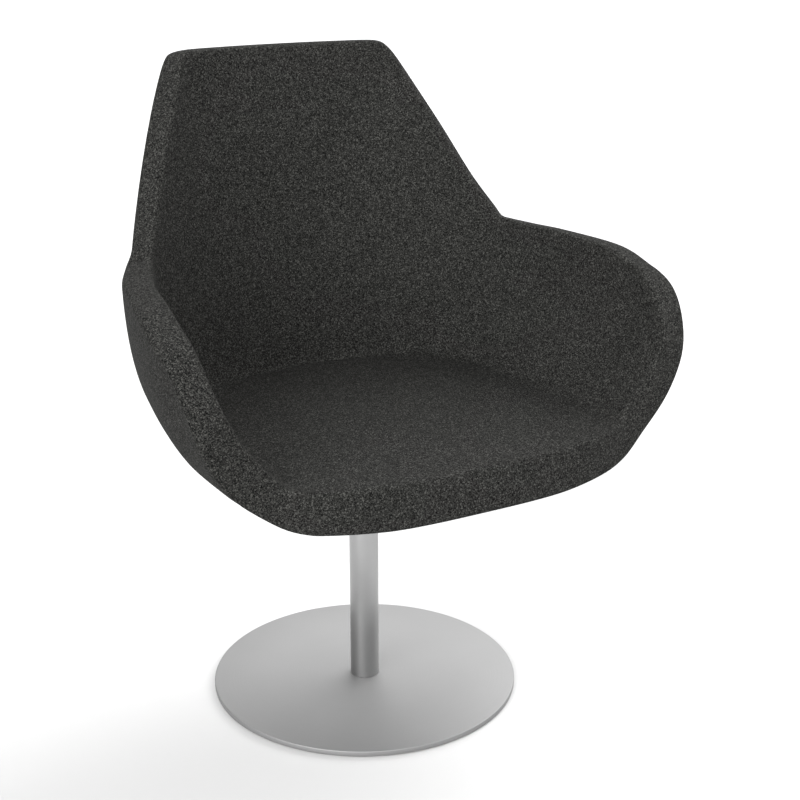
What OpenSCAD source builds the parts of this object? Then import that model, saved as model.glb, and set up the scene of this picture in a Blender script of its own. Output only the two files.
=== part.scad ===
// Pedestal swivel armchair: a one-piece padded shell on a round column and a flat disc base.
// Millimetres. The origin is on the floor under the column, +Z is up and the chair faces -Y.

/* [Seat shell] */
// Height of the seat above the floor
seat_h = 447; // [400:1:500]
// Height of the arm tops above the floor
arm_h = 657; // [620:1:700]
// Height of the top of the back above the floor
back_h = 916; // [840:1:980]
// Half the clear width between the arm tops
arm_half_w = 333.5; // [300:0.5:370]
// Half the width of the back's top edge
top_half_w = 158.5; // [130:0.5:190]
// How far the front edge of the seat lies ahead of the column
seat_reach = 320; // [290:1:350]
// How far the top of the back lies behind the column
back_reach = 238; // [210:1:270]
// Thickness of the seat over the column
seat_t = 77; // [70:1:95]
// Thickness of the seat's front edge
front_t = 60; // [54:1:68]
// Thickness of the arms' edge
arm_t = 40; // [36:1:46]
// Thickness of the back's edge
back_t = 32; // [30:1:40]
// Swell of the arms' outer sides below their edge
arm_swell = 3; // [0:1:10]

/* [Upholstery layers] */
// Thickness of the fabric with its backing
cover_t = 1.6; // [1:0.1:2.4]
// Thickness of the foam behind the shell
rear_foam_t = 10; // [8:0.5:13]
// Thickness of the moulded shell
core_t = 8; // [6:0.5:9]
// Rounding of the padded edge, and how far in its seams lie
edge_r = 8; // [7:0.5:12]
// Glue line between two layers
glue_t = 0.3; // [0.2:0.05:0.5]

/* [Base and column] */
// Diameter of the base disc
base_d = 450; // [420:1:520]
// Thickness of the base disc
base_t = 8; // [7:0.5:12]
// Thickness of the floor pad under the disc
pad_t = 1.5; // [1:0.5:3]
// How far the floor pad stays inside the disc's edge
pad_inset = 6; // [4:1:15]
// Outer diameter of the column
column_d = 42.4; // [41:0.1:50]
// Wall of the column tube
column_wall = 2.6; // [2:0.1:3]
// Height of the hub between the column's seal and the seat's plate
hub_h = 37; // [20:1:60]

/* [Swivel] */
// Diameter of the swivel shaft
shaft_d = 20; // [18:0.5:22]
// Length of the bearing housing inside the column
housing_l = 90; // [70:1:120]
// Length of each bush
bush_l = 24; // [16:1:30]
// Number of balls in the thrust bearing
ball_count = 12; // [8:1:14]
// Diameter of the balls
ball_d = 5; // [4:0.1:5.5]

/* [Seat mounting] */
// Diameter of the mounting plate
plate_d = 160; // [150:1:170]
// Thickness of the mounting plate
plate_t = 5; // [4:0.5:6]
// Diameter of the circle of seat bolts
bolt_circle_d = 120; // [110:1:126]
// Number of seat bolts
bolt_count = 4; // [3:1:6]
// Diameter of the seat bolts
bolt_d = 8; // [6:1:8]
// Diameter of the trim disc under the seat
trim_d = 184; // [178:1:190]

/* [Hidden] */
$fn = 96;
// One overrun for every cut
over = 1;
// Press and glue clearance on a radius, and running clearance on a radius
fit = 0.05;
run = 0.3;

// Outline of the shell. Stations 0 to 10 run along an arm's rim from the seat's front corner
// to the notch between arm and back. Stations 10 to 15 run from there to the back's top corner.
notch_index = 10;
arm_rise = arm_h - seat_h;
back_rise = back_h - seat_h;
// Along the arm: half width of the rim, its depth, its height and how much of the
// cross-section is left below it. A depth below zero counts to the front edge.
arm_rim_shares = [
    [1, -0.894, 0.89, 0.515],
    [1, -0.858, 0.89, 0.575],
    [1, -0.839, 0.89, 0.653],
    [1, -0.836, 0.89, 0.76],
    [1, -0.831, 0.89, 0.853],
    [0.997, -0.707, 0.888, 0.953],
    [0.999, -0.581, 0.896, 1],
    [0.979, -0.372, 0.975, 1],
    [0.925, -0.063, 1.005, 1],
    [0.879, 0.092, 1.013, 1],
    [0.828, 0.317, 1.036, 1]];
// Along the side of the back: shares of the way from the notch to the top corner
back_rim_shares = [
    [0, 0, 0],
    [0.247, 0.295, 0.239],
    [0.493, 0.541, 0.504],
    [0.742, 0.773, 0.758],
    [0.913, 0.935, 0.942],
    [1, 1, 1]];
// The top corner's depth, and how far it lies below the top edge
top_corner_share = 0.92;
top_drop_share = 0.01;
// The middle line of the seat and back: depth, and height over the seat
middle_shares = [
    [-1, 0],
    [-0.845, 0],
    [-0.78, 0],
    [-0.71, 0],
    [-0.61, 0],
    [-0.469, 0],
    [-0.25, 0],
    [0, 0],
    [0.36, 0],
    [0.58, 0],
    [0.745, 0.014],
    [0.811, 0.15],
    [0.86, 0.347],
    [0.907, 0.56],
    [0.953, 0.772],
    [1, 1]];
// Cross-section between the arms, inside and outside: half width and height from the middle
// to the rim
inner_section_shares = [
    [0, 0], [0.09, 0], [0.18, 0], [0.27, 0], [0.36, 0], [0.45, 0], [0.54, 0], [0.62, 0],
    [0.715, 0], [0.784, 0.022], [0.832, 0.14], [0.885, 0.297], [0.935, 0.45],
    [0.972, 0.605], [0.993, 0.79], [1, 1]];
outer_section_shares = [
    [0, 0], [0.083, 0], [0.166, 0], [0.25, 0], [0.33, 0], [0.405, 0.016], [0.518, 0.049],
    [0.595, 0.088], [0.687, 0.132], [0.766, 0.205], [0.847, 0.31], [0.915, 0.463],
    [0.96, 0.66], [0.984, 0.845], [1, 1]];
// Outside of the arm: steps out and back from the inner rim in arm thicknesses, the height of
// the rim, and how much of the cross-section is left below it
outer_arm_shares = [
    [1.1, -0.125, -0.133, 0.5],
    [1.1, -0.04, 0.56, 0.598],
    [1.143, 0.063, 0.785, 0.683],
    [1.134, 0.06, 0.855, 0.776],
    [1.163, 0.152, 0.885, 0.855],
    [1.102, 0.042, 0.85, 0.961],
    [1.049, 0.144, 0.852, 1],
    [1.036, 0.183, 0.945, 1],
    [0.945, 0.271, 0.97, 1],
    [0.956, 0.454, 0.974, 1],
    [0.653, 0.718, 0.988, 1]];
// Outside of the back: steps out, back and down from the inner rim in back thicknesses
outer_back_shares = [
    [0.709, 0.684, 0.18],
    [0.76, 0.796, 0.2],
    [0.795, 0.817, 0.19],
    [0.781, 0.85, 0.19],
    [0.627, 0.88, 0.16],
    [0.5, 0.991, 0.08]];
// Thickness along the middle line: shares of the way from the front edge's to the seat's
// thickness, and from there to the back's
wall_shares = [
    [0, 0], [0.48, 0], [0.73, 0], [0.89, 0], [1, 0], [1, 0], [1, 0], [1, 0], [1, 0],
    [1, 0.045], [1, 0.38], [1, 0.67], [1, 0.75], [1, 0.82], [1, 0.91], [1, 1]];
// Lean of the wall along the middle line, in degrees from straight down to straight back
wall_lean = [-5, 8, 5, 0, 0, 0, 0, 0, 0, 9, 40, 74, 82, 84, 85, 85];
// Stations where the cross-section gives way to the plain bow of the back
inner_blend = [8.5, 11.5];
outer_blend = [9.5, 12];
top_blend = [13, 15];
// Stations between which the arm's swell comes and goes
swell_in = [4, 8];
swell_out = [10, 12];
// Highest value of h * h * (1 - h) for a height share h
swell_peak_share = 4 / 27;
// Powers of the back's bow, of its rise, of its square top edge and of the seat's front edge
bow_power = 2;
rise_power = 2.6;
top_power = 20;
front_power = 3;
front_blend = [0, 4];

function mix(a, b, f) = a + (b - a) * f;
function unit(v) = v / norm(v);
function ramp(ends, t) =
    let (f = min(max((t - ends[0]) / (ends[1] - ends[0]), 0), 1)) f * f * (3 - 2 * f);
// Smooth curve through the rows of a table, read at row t
function along(table, t) =
    let (
        n = len(table) - 1,
        s = min(max(t, 0), n),
        i = min(floor(s), n - 1),
        f = s - i,
        b = table[i],
        c = table[i + 1],
        a = i > 0 ? table[i - 1] : 2 * b - c,
        d = i + 2 <= n ? table[i + 2] : 2 * c - b
    )
    (2 * b + (c - a) * f + (2 * a - 5 * b + 4 * c - d) * f * f
        + (3 * b - a - 3 * c + d) * f * f * f) / 2;
function depth(share) = share < 0 ? share * seat_reach : share * back_reach;

// Rims in millimetres: half width, depth, height and remaining share of the cross-section
inner_arm = [for (r = arm_rim_shares)
    [r[0] * arm_half_w, depth(r[1]), seat_h + r[2] * arm_rise, r[3]]];
top_corner = [top_half_w, depth(top_corner_share), back_h - top_drop_share * back_rise, 1];
inner_back = [for (r = back_rim_shares) let (low = inner_arm[notch_index]) [
    mix(low[0], top_corner[0], r[0]), mix(low[1], top_corner[1], r[1]),
    mix(low[2], top_corner[2], r[2]), 1]];
outer_arm = [for (i = [0 : notch_index]) let (r = outer_arm_shares[i], rim = inner_arm[i]) [
    rim[0] + r[0] * arm_t, rim[1] + r[1] * arm_t, seat_h + r[2] * arm_rise, r[3]]];
outer_back = [for (i = [0 : len(inner_back) - 1])
    let (r = outer_back_shares[i], rim = inner_back[i]) [
    rim[0] + r[0] * back_t, rim[1] + r[1] * back_t, rim[2] - r[2] * back_t, 1]];
inner_middle = [for (r = middle_shares) [depth(r[0]), seat_h + r[1] * back_rise]];
outer_middle = [for (i = [0 : len(inner_middle) - 1])
    let (
        wall = mix(mix(front_t, seat_t, wall_shares[i][0]), back_t, wall_shares[i][1]),
        lean = wall_lean[i]
    )
    inner_middle[i] + wall * [sin(lean), -cos(lean)]];

// A point of the shell's inner or outer face, at station t, at the share u of the way from
// the middle line to the rim
function face_point(t, u, outer) =
    let (
        arm = outer ? outer_arm : inner_arm,
        side = outer ? outer_back : inner_back,
        rim = t <= notch_index ? along(arm, t) : along(side, t - notch_index),
        mid = along(outer ? outer_middle : inner_middle, t),
        section = outer ? outer_section_shares : inner_section_shares,
        reach = min(rim[3], 1) * (len(section) - 1),
        a = abs(u),
        cut = along(section, a * reach),
        back = ramp(outer ? outer_blend : inner_blend, t),
        top = ramp(top_blend, t),
        across = mix(cut[0], a, back),
        up = mix(mix(cut[1], pow(a, rise_power), back), pow(a, top_power), top),
        power = mix(front_power, bow_power, ramp(front_blend, t)),
        ahead = pow(across / mix(along(section, reach)[0], 1, back), power),
        swell = outer ? arm_swell * up * up * (1 - up) / swell_peak_share
            * ramp(swell_in, t) * (1 - ramp(swell_out, t)) : 0
    )
    [sign(u) * (rim[0] * across + swell), mix(mid[0], rim[1], ahead), mix(mid[1], rim[2], up)];

// Grid of both faces. Rows follow the stations, columns run from rim to rim.
row_stations = [0, 1, 2, 3, 4, 5, 6, 6.5, 7, 7.5, 8, 9, 9.5, 10, 10.5, 11, 12, 13, 14, 15];
half_count = 13;
rows = len(row_stations) - 1;
// The line of the grid where the back's padding meets the seat's, the post where an arm's does,
// and half the joint between two paddings as a share of the grid's spacing
back_index = 11;
arm_index = 5;
joint_share = 0.008;
cols = 2 * half_count;
raw_in = [for (t = row_stations) [for (j = [0 : cols]) face_point(t, j / half_count - 1, false)]];
raw_out = [for (t = row_stations) [for (j = [0 : cols]) face_point(t, j / half_count - 1, true)]];
// Places of the rim, once round: front edge, one side, top edge, other side
rim_places = concat(
    [for (j = [0 : cols - 1]) [0, j]], [for (i = [0 : rows - 1]) [i, cols]],
    [for (j = [cols : -1 : 1]) [rows, j]], [for (i = [rows : -1 : 1]) [i, 0]]);
rim_count = len(rim_places);
function at(grid, place) = grid[place[0]][place[1]];
function rim_index(i, j) = i == 0 ? j : j == cols ? cols + i
    : i == rows ? cols + rows + cols - j : 2 * cols + rows + rows - i;
// Direction from a rim place into the face, square to the rim
function inward(grid, k) =
    let (
        p = rim_places[k],
        here = at(grid, p),
        run_dir = unit(at(grid, rim_places[(k + 1) % rim_count])
            - at(grid, rim_places[(k + rim_count - 1) % rim_count])),
        in_by = p[0] == 0 ? 2 : 1,
        near = grid[min(max(p[0], 1), rows - 1)][min(max(p[1], in_by), cols - in_by)] - here
    )
    unit(near - (near * run_dir) * run_dir);
function smoothed(dirs) = [for (k = [0 : rim_count - 1])
    unit(dirs[(k + rim_count - 1) % rim_count] + 2 * dirs[k] + dirs[(k + 1) % rim_count])];
in_dir = smoothed(smoothed([for (k = [0 : rim_count - 1]) inward(raw_in, k)]));
out_dir = smoothed(smoothed([for (k = [0 : rim_count - 1]) inward(raw_out, k)]));
// Faces of the layers end where the rounded edge begins. The lines next to the rim move in too,
// less and less over a few lines, so that they keep their order.
ease_count = 5;
function ease(lines) = max(0, 1 - lines / ease_count);
function shift(dirs, i, j) =
    let (
        end_line = i < rows / 2 ? 0 : rows,
        side_line = j < half_count ? 0 : cols,
        a = ease(abs(i - end_line)),
        b = ease(abs(j - side_line))
    )
    a * dirs[rim_index(end_line, j)] + b * dirs[rim_index(i, side_line)]
        - a * b * dirs[rim_index(end_line, side_line)];
function trimmed(grid, dirs) = [for (i = [0 : rows]) [for (j = [0 : cols])
    grid[i][j] + edge_r * shift(dirs, i, j)]];
face_in = trimmed(raw_in, in_dir);
face_out = trimmed(raw_out, out_dir);

// A point of a face at row i and column j, which may lie between two lines of the grid
function between(grid, i, j) =
    let (a = min(floor(i), rows - 1), b = min(floor(j), cols - 1))
    mix(mix(grid[a][b], grid[a][b + 1], j - b), mix(grid[a + 1][b], grid[a + 1][b + 1], j - b), i - a);
// A skin of the shell over some rows and columns, a depth in from the inner face or, below zero,
// from the outer face
function skin(d, lines, posts) = [for (i = lines) for (j = posts)
    let (a = between(face_in, i, j), b = between(face_out, i, j))
    d >= 0 ? a + d * unit(b - a) : b + d * unit(b - a)];
// The lines of the grid from one to another, less half a joint at an end that is cut
function span(first, last, cut_first, cut_last) = [for (i = [first : last])
    i + (i == first && cut_first ? joint_share : 0) - (i == last && cut_last ? joint_share : 0)];
// Triangles between two rings of points, split the other way where crossed
function band(p, q, crossed) = [for (k = [0 : len(p) - 1])
    let (n = (k + 1) % len(p)) each (crossed[k]
        ? [[p[k], q[k], p[n]], [q[k], q[n], p[n]]]
        : [[p[k], q[k], q[n]], [p[k], q[n], p[n]]])];

// Solid between two skins of the shell, over all of it or over some lines and posts of its grid
all_lines = span(0, rows, false, false);
all_posts = span(0, cols, false, false);
module layer(from, to, lines = all_lines, posts = all_posts) {
    wide = len(posts);
    high = len(lines);
    size = high * wide;
    last_line = high - 1;
    last_post = wide - 1;
    face = [for (i = [1 : last_line]) for (j = [1 : last_post]) let (v = (i - 1) * wide + j - 1)
        each (posts[j - 1] < half_count
            ? [[v, v + wide, v + wide + 1], [v, v + wide + 1, v + 1]]
            : [[v, v + wide, v + 1], [v + 1, v + wide, v + wide + 1]])];
    rim = concat(
        [for (j = [0 : last_post]) j],
        [for (i = [1 : last_line]) i * wide + last_post],
        [for (j = [1 : last_post]) last_line * wide + last_post - j],
        [for (i = [1 : last_line - 1]) (last_line - i) * wide]);
    // A cut where the rim runs back along the grid is split like the padding that it meets
    crossed = concat(
        [for (k = [1 : last_line + last_post]) false],
        [for (j = [1 : last_post]) lines[last_line] < rows],
        [for (i = [1 : last_line]) posts[0] > 0]);
    polyhedron(
        points = concat(skin(from, lines, posts), skin(to, lines, posts)),
        faces = concat(
            face,
            [for (f = face) [f[0] + size, f[2] + size, f[1] + size]],
            band([for (v = rim) v + size], rim, crossed)));
}
// The three places that the padding is cut for: seat, back and one arm
module seat_layer(from, to) {
    layer(from, to, span(0, back_index, false, true), span(arm_index, cols - arm_index, true, true));
}
module back_layer(from, to) {
    layer(from, to, span(back_index, rows, true, false));
}
module arm_layers(from, to) {
    lines = span(0, back_index, false, true);
    layer(from, to, lines, span(0, arm_index, false, true));
    layer(from, to, lines, span(cols - arm_index, cols, true, false));
}

// A point of the edge at rim place k: across from the inner to the outer rim, and in from both
function edge_point(k, across, in) =
    let (
        a = at(raw_in, rim_places[k]),
        b = at(raw_out, rim_places[k]),
        f = (across < 0 ? norm(b - a) + across : across) / norm(b - a)
    )
    mix(a, b, f) + in * mix(in_dir[k], out_dir[k], f);
// Solid round the whole rim with one cross-section, whose points are [across, in], where an
// across below zero is taken from the outer rim. A thin section has an outside and, back along
// it, an inside, whose triangles are split the same way as those that they lie on.
module edge_ring(outside, inside = []) {
    section = concat(outside, inside);
    n = len(section);
    polyhedron(
        points = [for (k = [0 : rim_count - 1]) for (s = section) edge_point(k, s[0], s[1])],
        faces = [for (k = [0 : rim_count - 1]) for (s = [0 : n - 1])
            let (
                a = k * n + s,
                b = k * n + (s + 1) % n,
                c = (k + 1) % rim_count * n + s,
                d = (k + 1) % rim_count * n + (s + 1) % n
            )
            each (s < len(outside) ? [[a, c, d], [a, d, b]] : [[a, c, b], [b, c, d]])]);
}

// The depth of a point halfway round a corner of radius r
function corner(r) = r * (1 - sqrt(0.5));
tiny = 0.001;
edge_end = edge_r - glue_t;
core_edge_gap = 2.5;

core_depth = cover_t + glue_t + rear_foam_t + glue_t;
foam_depth = core_depth + core_t + glue_t;
seat_under_z = seat_h - seat_t;
core_under_z = seat_under_z + core_depth;
core_top_z = core_under_z + core_t;

// Base and column heights
disc_z = pad_t;
disc_top_z = disc_z + base_t;
tube_r = column_d / 2;
tube_bore_r = tube_r - column_wall;
plate_under_z = core_under_z - plate_t;
shoulder_z = plate_under_z - hub_h;
seal_t = 2;
column_h = shoulder_z - run - seal_t;

// Base screw and plug
screw_r = 6;
screw_head_r = 12;
screw_sink = 0.2;
screw_l = 30;
hex_socket_d = 9.2;
hex_socket_depth = 4;
plug_h = 25;
pin_r = 3;
pin_l = 13;
pin_x = 12.5;
pin_depth = 5;
disc_edge_r = 0.8;

// Swivel
shaft_r = shaft_d / 2;
race_t = 3;
race_lip = 0.5;
race_gap = ball_d - 2 * race_lip;
bearing_h = 2 * race_t + race_gap;
bearing_r = 17.5;
pitch_r = (bearing_r + shaft_r) / 2;
seal_l = 5;
seal_wall = 2.2;
spigot_r = tube_bore_r - fit - seal_wall - run;
spigot_l = 10;
race_top_z = shoulder_z - spigot_l;
housing_top_z = race_top_z - bearing_h;
housing_z = housing_top_z - housing_l;
ball_z = housing_top_z + race_t + race_gap / 2;
bush_wall = 3;
bush_r = shaft_r + fit + bush_wall;
race_clear = 0.5;
washer_t = 1.5;
washer_r = 15;
ring_t = 1.2;
ring_r = 13.5;
groove_depth = 0.5;
shaft_tail = 7;
shaft_chamfer = 1.5;
retainer_z = housing_z - run - washer_t;
cage_gap = 0.3;
cage_wall = 3.3;
pocket_gap = 0.15;

// Seat mounting
bolt_angle = 45;
bolt_hole_gap = 0.5;
bolt_hole_r = bolt_d / 2 + bolt_hole_gap;
bolt_head_r = 7;
bolt_head_h = 4.4;
bolt_washer_r = 8;
bolt_washer_t = 1.6;
bolt_l = 25;
bolt_socket_d = 5.8;
bolt_socket_depth = 2.6;
nut_plate_d = 148;
nut_plate_t = 3;
nut_af = 13;
nut_h = 6.5;
pocket_clear = 1;
pocket_wall_gap = 2;
pocket_r = plate_d / 2 + pocket_wall_gap;
trim_t = 1.8;
trim_edge_r = 0.9;
trim_hole_gap = 0.6;
trim_screw_count = 4;
trim_circle_d = 92;
trim_boss_r = 4;
trim_screw_r = 2;
trim_screw_l = 13;
trim_head_r = 4;
trim_head_h = 2.2;
trim_slot_share = 0.6;
trim_slot_w = 1;
trim_slot_depth = 1.1;
trim_under_z = seat_under_z - glue_t - trim_t;

// A solid of revolution with one outline, points are [radius, height]
module turned(outline) {
    rotate_extrude() polygon(outline);
}
module tube(r_out, r_in, z, h) {
    translate([0, 0, z]) difference() {
        cylinder(r = r_out, h = h);
        translate([0, 0, -over]) cylinder(r = r_in, h = h + 2 * over);
    }
}
// Copies round the column
module round_column(count, circle_d, turn = 0) {
    for (i = [0 : count - 1]) rotate(turn + i * 360 / count) translate([circle_d / 2, 0, 0]) children();
}
module hex_socket(across, depth, z) {
    translate([0, 0, z - over]) cylinder(d = across, h = depth + over, $fn = 6);
}

// Thin pad glued under the disc, on which the chair stands
module floor_pad() {
    color([0.12, 0.12, 0.13]) cylinder(r = base_d / 2 - pad_inset, h = pad_t);
}

// Flat steel disc, countersunk from below for the base screw
module base_plate() {
    color([0.76, 0.76, 0.77]) difference() {
        turned([
            [0, disc_z], [base_d / 2 - disc_edge_r, disc_z], [base_d / 2, disc_z + disc_edge_r],
            [base_d / 2, disc_top_z - disc_edge_r], [base_d / 2 - disc_edge_r, disc_top_z],
            [0, disc_top_z]]);
        translate([0, 0, disc_z - over]) cylinder(r = screw_r + run, h = base_t + 2 * over);
        turned([
            [0, disc_z - over], [screw_head_r + screw_sink + run + over, disc_z - over],
            [screw_r + run, disc_z - over + screw_head_r + screw_sink + over - screw_r],
            [0, disc_z - over + screw_head_r + screw_sink + over - screw_r]]);
        translate([pin_x, 0, disc_top_z - pin_depth]) cylinder(r = pin_r + fit, h = pin_depth + over);
    }
}

// Countersunk screw that holds the column on the disc
module base_screw() {
    head_z = disc_z + screw_sink;
    color([0.45, 0.45, 0.47]) difference() {
        turned([
            [0, head_z], [screw_head_r, head_z], [screw_r, head_z + screw_head_r - screw_r],
            [screw_r, head_z + screw_l], [0, head_z + screw_l]]);
        hex_socket(hex_socket_d, hex_socket_depth, head_z);
    }
}

// Dowel that stops the column turning on the disc
module locating_pin() {
    color([0.5, 0.5, 0.52]) translate([pin_x, 0, disc_top_z - pin_depth + screw_sink])
        cylinder(r = pin_r, h = pin_l);
}

// Threaded plug welded into the foot of the column
module column_plug() {
    color([0.55, 0.55, 0.57]) difference() {
        translate([0, 0, disc_top_z]) cylinder(r = tube_bore_r - fit, h = plug_h);
        translate([0, 0, disc_top_z - over]) cylinder(r = screw_r + fit, h = plug_h + 2 * over);
        translate([pin_x, 0, disc_top_z - over])
            cylinder(r = pin_r + fit, h = pin_l - pin_depth + run + 2 * over);
    }
}

module column_tube() {
    color([0.76, 0.76, 0.77]) tube(tube_r, tube_bore_r, disc_top_z, column_h - disc_top_z);
}

// Sleeve pressed into the column that carries both bushes and the thrust bearing
module bearing_housing() {
    color([0.62, 0.62, 0.64]) tube(tube_bore_r - fit, bush_r + fit, housing_z, housing_l);
}
module bush(z) {
    color([0.88, 0.86, 0.8]) tube(bush_r, shaft_r + fit, z, bush_l);
}
module lower_bush() {
    bush(housing_z);
}
module upper_bush() {
    bush(housing_top_z - bush_l);
}

// Washer of the thrust bearing with the groove that the balls run in
module race(z, bore_r) {
    color([0.7, 0.7, 0.72]) difference() {
        tube(bearing_r, bore_r, z, race_t);
        translate([0, 0, ball_z]) rotate_extrude() translate([pitch_r, 0]) circle(r = ball_d / 2 + fit);
    }
}
module bearing_lower_race() {
    race(housing_top_z, shaft_r + race_clear);
}
module bearing_upper_race() {
    race(race_top_z - race_t, shaft_r + fit);
}
module bearing_balls() {
    color([0.8, 0.8, 0.82]) round_column(ball_count, 2 * pitch_r)
        translate([0, 0, ball_z]) sphere(d = ball_d, $fn = 48);
}
module bearing_cage() {
    color([0.75, 0.62, 0.3]) difference() {
        tube(pitch_r + cage_wall, pitch_r - cage_wall, ball_z - race_gap / 2 + cage_gap,
            race_gap - 2 * cage_gap);
        round_column(ball_count, 2 * pitch_r)
            translate([0, 0, ball_z - race_gap]) cylinder(r = ball_d / 2 + pocket_gap, h = 2 * race_gap);
    }
}

// Dust seal in the mouth of the column, under the turning hub
module column_seal() {
    color([0.15, 0.15, 0.16]) difference() {
        union() {
            translate([0, 0, column_h]) cylinder(r = tube_r, h = seal_t);
            translate([0, 0, column_h - seal_l]) cylinder(r = tube_bore_r - fit, h = seal_l);
        }
        translate([0, 0, column_h - seal_l - over])
            cylinder(r = spigot_r + run, h = seal_l + seal_t + 2 * over);
    }
}

// Turned spindle: hub under the mounting plate, spigot on the bearing, shaft in the bushes
module swivel_spindle() {
    tail_z = retainer_z - ring_t - shaft_tail;
    color([0.76, 0.76, 0.77]) turned([
        [0, tail_z], [shaft_r - shaft_chamfer, tail_z], [shaft_r, tail_z + shaft_chamfer],
        [shaft_r, retainer_z - ring_t - fit], [shaft_r - groove_depth, retainer_z - ring_t - fit],
        [shaft_r - groove_depth, retainer_z + fit], [shaft_r, retainer_z + fit],
        [shaft_r, race_top_z], [spigot_r, race_top_z], [spigot_r, shoulder_z],
        [tube_r, shoulder_z], [tube_r, plate_under_z], [0, plate_under_z]]);
}
module retaining_washer() {
    color([0.6, 0.6, 0.62]) tube(washer_r, shaft_r + fit, retainer_z, washer_t);
}
// Open ring snapped into the shaft's groove
module retaining_ring() {
    mouth = shaft_r;
    color([0.3, 0.3, 0.32]) difference() {
        tube(ring_r, shaft_r - groove_depth + fit, retainer_z - ring_t, ring_t);
        translate([0, -mouth / 2, retainer_z - ring_t - over])
            cube([ring_r + over, mouth, ring_t + 2 * over]);
    }
}

// Round steel plate welded on the hub and bolted to the shell
module mounting_plate() {
    color([0.5, 0.5, 0.52]) difference() {
        translate([0, 0, plate_under_z]) cylinder(d = plate_d, h = plate_t);
        round_column(bolt_count, bolt_circle_d, bolt_angle) translate([0, 0, plate_under_z - over])
            cylinder(r = bolt_hole_r, h = plate_t + 2 * over);
        round_column(trim_screw_count, trim_circle_d) translate([0, 0, plate_under_z - over])
            cylinder(r = trim_screw_r + fit, h = plate_t + 2 * over);
    }
}
module seat_bolts() {
    head_z = plate_under_z - bolt_washer_t - bolt_head_h;
    color([0.55, 0.55, 0.57]) round_column(bolt_count, bolt_circle_d, bolt_angle) difference() {
        turned([
            [0, head_z], [bolt_head_r / 2, head_z],
            [bolt_head_r - bolt_head_h / 4, head_z + bolt_head_h / 3],
            [bolt_head_r, head_z + bolt_head_h], [bolt_d / 2, head_z + bolt_head_h],
            [bolt_d / 2, head_z + bolt_head_h + bolt_l], [0, head_z + bolt_head_h + bolt_l]]);
        hex_socket(bolt_socket_d, bolt_socket_depth, head_z);
    }
}
module seat_washers() {
    color([0.65, 0.65, 0.67]) round_column(bolt_count, bolt_circle_d, bolt_angle)
        tube(bolt_washer_r, bolt_hole_r, plate_under_z - bolt_washer_t, bolt_washer_t);
}
// Plate on top of the shell that spreads the bolts' pull
module nut_plate() {
    color([0.5, 0.5, 0.52]) difference() {
        translate([0, 0, core_top_z]) cylinder(d = nut_plate_d, h = nut_plate_t);
        round_column(bolt_count, bolt_circle_d, bolt_angle) translate([0, 0, core_top_z - over])
            cylinder(r = bolt_hole_r, h = nut_plate_t + 2 * over);
    }
}
module weld_nuts() {
    color([0.6, 0.6, 0.62]) round_column(bolt_count, bolt_circle_d, bolt_angle)
        translate([0, 0, core_top_z + nut_plate_t]) difference() {
            cylinder(d = nut_af / cos(30), h = nut_h, $fn = 6);
            translate([0, 0, -over]) cylinder(r = bolt_d / 2 + fit, h = nut_h + 2 * over);
        }
}

// Moulded rigid shell inside the padding, with a flat for each plate
module shell_core() {
    color([0.85, 0.82, 0.74]) difference() {
        layer(-core_depth - core_t, -core_depth);
        translate([0, 0, core_under_z - over]) cylinder(r = pocket_r, h = over + fit);
        translate([0, 0, core_top_z - fit]) cylinder(d = nut_plate_d + 2 * pocket_clear, h = over);
        round_column(bolt_count, bolt_circle_d, bolt_angle) translate([0, 0, core_under_z - over])
            cylinder(r = bolt_hole_r, h = core_t + 2 * over);
    }
}
// Padding under the sitter, hollowed below for the nut plate and its nuts
inner_foam = [cover_t + glue_t, -foam_depth];
module seat_foam() {
    plate_top_z = core_top_z + nut_plate_t;
    color([0.93, 0.9, 0.78]) difference() {
        seat_layer(inner_foam[0], inner_foam[1]);
        translate([0, 0, core_top_z - over])
            cylinder(d = nut_plate_d + 2 * pocket_clear, h = nut_plate_t + glue_t + over);
        round_column(bolt_count, bolt_circle_d, bolt_angle) translate([0, 0, plate_top_z - over])
            cylinder(d = nut_af / cos(30) + 2 * pocket_clear, h = bolt_l + over + pocket_clear
                - bolt_washer_t - plate_t - core_t - nut_plate_t);
    }
}
// Padding on the inner sides of the arms and on the inner back
module arm_foam() {
    color([0.93, 0.9, 0.78]) arm_layers(inner_foam[0], inner_foam[1]);
}
module back_foam() {
    color([0.93, 0.9, 0.78]) back_layer(inner_foam[0], inner_foam[1]);
}
// Thin padding on the underside, the arms' outer sides and the rear of the back
outer_foam = [-core_depth + glue_t, -cover_t - glue_t];
module under_foam() {
    color([0.9, 0.87, 0.76]) difference() {
        seat_layer(outer_foam[0], outer_foam[1]);
        translate([0, 0, seat_under_z - over]) cylinder(r = pocket_r, h = core_depth + over);
    }
}
module side_foam() {
    color([0.9, 0.87, 0.76]) arm_layers(outer_foam[0], outer_foam[1]);
}
module rear_foam() {
    color([0.9, 0.87, 0.76]) back_layer(outer_foam[0], outer_foam[1]);
}
module edge_foam() {
    skin_t = cover_t + glue_t + 2 * fit;
    bend = skin_t + corner(edge_r - skin_t);
    root = edge_r - core_edge_gap;
    root_x = mix(skin_t, bend, (edge_end - root) / (edge_end - bend));
    color([0.93, 0.9, 0.78]) edge_ring([
        [root_x, root], [bend, bend], [edge_r, skin_t],
        [-edge_r, skin_t], [-bend, bend], [-root_x, root]]);
}

// Fabric over the seat, the inner back and the arms' inner sides
module inner_cover() {
    color([0.24, 0.24, 0.25]) layer(0, cover_t);
}
// Fabric over the back, the arms' outer sides and the underside, cut out for the mounting plate
module outer_cover() {
    color([0.24, 0.24, 0.25]) difference() {
        layer(-cover_t, -tiny);
        translate([0, 0, seat_under_z - over]) cylinder(r = pocket_r, h = cover_t + 2 * over);
    }
}
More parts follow.
